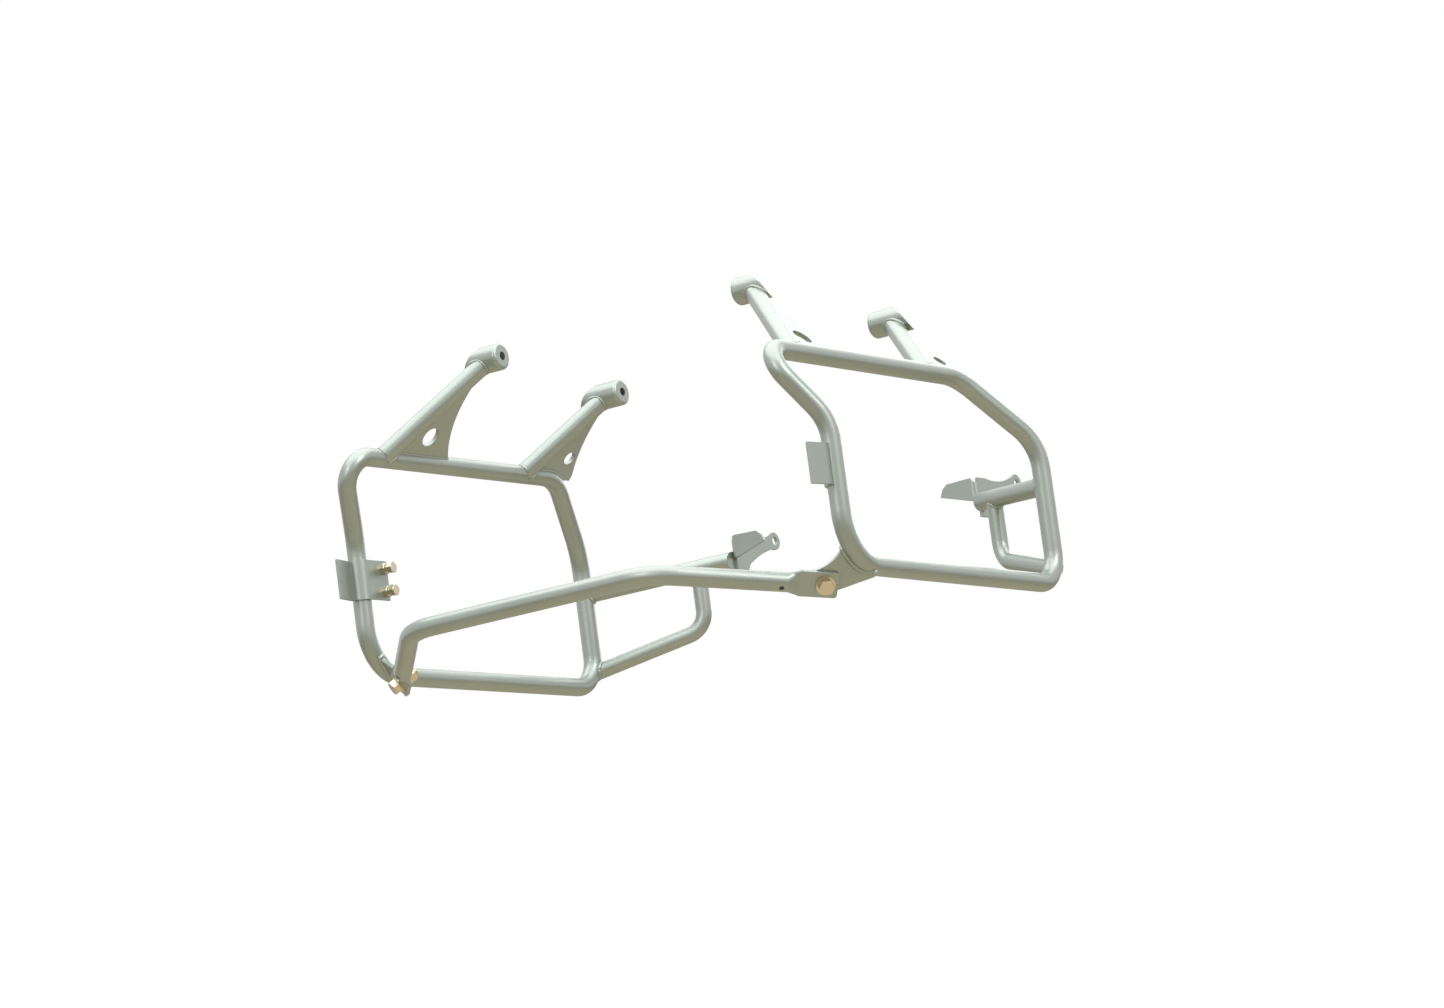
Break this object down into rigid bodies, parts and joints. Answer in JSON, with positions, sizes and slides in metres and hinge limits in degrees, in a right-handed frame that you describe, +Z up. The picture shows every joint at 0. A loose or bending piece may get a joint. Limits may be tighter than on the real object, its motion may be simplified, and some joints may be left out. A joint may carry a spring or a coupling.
{
  "type": "motorbike pannier frame",
  "caption": "Pair of bent-tube side carriers with gusseted arms, turned mounting cups and folded brackets, joined behind by a bowed crossbar",
  "frame": {"origin": "middle of the frame's footprint, at the height of the crossbar tabs' lowest corners", "axes": "+X to the bike's right, +Y in the riding direction, +Z up as the frame is carried on the bike"},
  "size_m": [0.562, 0.6614, 0.3266],
  "materials": {
    "powder_coat": "satin silver-grey powder coat on steel",
    "zinc_steel": "bright zinc plate with a slight yellow cast"
  },
  "bodies": {
    "root": {"right_main_loop": "powder_coat", "right_rear_arm": "powder_coat", "right_front_arm": "powder_coat", "right_rear_cup": "powder_coat", "right_front_cup": "powder_coat", "right_rear_gusset": "powder_coat", "right_front_gusset": "powder_coat", "right_crossbar_lug": "powder_coat", "right_cross_tube": "powder_coat", "right_brace_tube": "powder_coat", "right_front_bracket": "powder_coat", "right_clip_bracket": "powder_coat", "right_clip_bolts": "zinc_steel", "right_clip_nuts": "zinc_steel", "left_main_loop": "powder_coat", "left_rear_arm": "powder_coat", "left_front_arm": "powder_coat", "left_rear_cup": "powder_coat", "left_front_cup": "powder_coat", "left_rear_gusset": "powder_coat", "left_front_gusset": "powder_coat", "left_crossbar_lug": "powder_coat", "left_cross_tube": "powder_coat", "left_brace_tube": "powder_coat", "left_front_bracket": "powder_coat", "left_clip_bracket": "powder_coat", "left_clip_bolts": "zinc_steel", "left_clip_nuts": "zinc_steel", "crossbar": "powder_coat", "crossbar_bolts": "zinc_steel", "crossbar_washers": "zinc_steel", "crossbar_nuts": "zinc_steel"}
  },
  "joints": []
}
